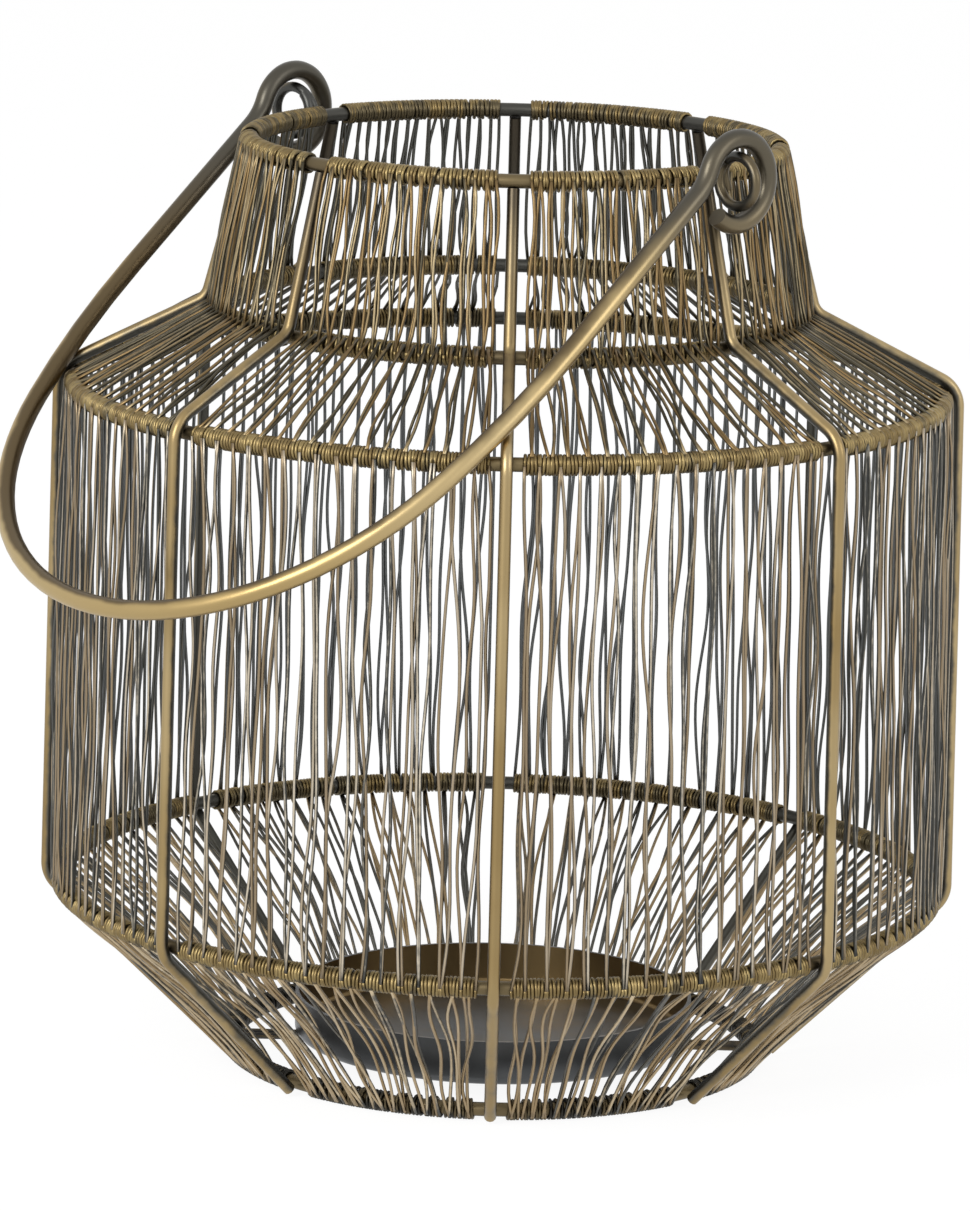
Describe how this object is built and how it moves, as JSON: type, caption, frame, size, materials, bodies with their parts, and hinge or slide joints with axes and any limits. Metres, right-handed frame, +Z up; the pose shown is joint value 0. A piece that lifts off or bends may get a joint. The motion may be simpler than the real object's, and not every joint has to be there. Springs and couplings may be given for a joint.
{
  "type": "wire candle lantern",
  "caption": "Barrel-shaped lantern of thin wires strung between wound hoops and bent ribs, with a candle dish in its foot and a wire carrying handle",
  "frame": {"origin": "on the lantern's vertical axis, in the plane it stands on", "axes": "+Z up along the lantern's axis; +X along the handle's hinge line, through the right ear; -Y the side that the resting handle leans out over"},
  "size_m": [0.2662, 0.2936, 0.2827],
  "materials": {
    "hoop_wire": "dark antique brass finish on drawn wire, dull",
    "wound_wire": "dark antique brass finish on thin wire, satin",
    "rib_wire": "pale antique brass finish on drawn wire, satin",
    "strand_wire": "mottled antique brass finish on thin wire, satin",
    "dish": "dark antique finish on pressed sheet, satin",
    "handle_wire": "antique brass finish on thick drawn wire, satin"
  },
  "bodies": {
    "cage": {"rim_hoop": "hoop_wire", "neck_hoop": "hoop_wire", "shoulder_hoop": "hoop_wire", "belly_hoop": "hoop_wire", "base_hoop": "hoop_wire", "rim_wrap": "wound_wire", "neck_wrap": "wound_wire", "shoulder_wrap": "wound_wire", "belly_wrap": "wound_wire", "base_wrap": "wound_wire", "rib_1": "rib_wire", "rib_2": "rib_wire", "rib_3": "rib_wire", "rib_4": "rib_wire", "rib_5": "rib_wire", "rib_6": "rib_wire", "rib_7": "rib_wire", "rib_8": "rib_wire", "neck_strands_1": "strand_wire", "neck_strands_2": "strand_wire", "neck_strands_3": "strand_wire", "neck_strands_4": "strand_wire", "neck_strands_5": "strand_wire", "neck_strands_6": "strand_wire", "neck_strands_7": "strand_wire", "neck_strands_8": "strand_wire", "shoulder_strands_1": "strand_wire", "shoulder_strands_2": "strand_wire", "shoulder_strands_3": "strand_wire", "shoulder_strands_4": "strand_wire", "shoulder_strands_5": "strand_wire", "shoulder_strands_6": "strand_wire", "shoulder_strands_7": "strand_wire", "shoulder_strands_8": "strand_wire", "belly_strands_1": "strand_wire", "belly_strands_2": "strand_wire", "belly_strands_3": "strand_wire", "belly_strands_4": "strand_wire", "belly_strands_5": "strand_wire", "belly_strands_6": "strand_wire", "belly_strands_7": "strand_wire", "belly_strands_8": "strand_wire", "foot_strands_1": "strand_wire", "foot_strands_2": "strand_wire", "foot_strands_3": "strand_wire", "foot_strands_4": "strand_wire", "foot_strands_5": "strand_wire", "foot_strands_6": "strand_wire", "foot_strands_7": "strand_wire", "foot_strands_8": "strand_wire", "cross_rod": "hoop_wire", "half_rod_1": "hoop_wire", "half_rod_2": "hoop_wire", "candle_dish": "dish", "ear_left": "hoop_wire", "ear_right": "hoop_wire"},
    "handle": {"handle": "handle_wire"}
  },
  "joints": [
    {"name": "handle_swing", "type": "hinge", "parent": "cage", "child": "handle", "pos_m": [0, -0.00255, 0.268], "axis": [-1, 0, 0], "range_deg": [0, 247.8]}
  ]
}
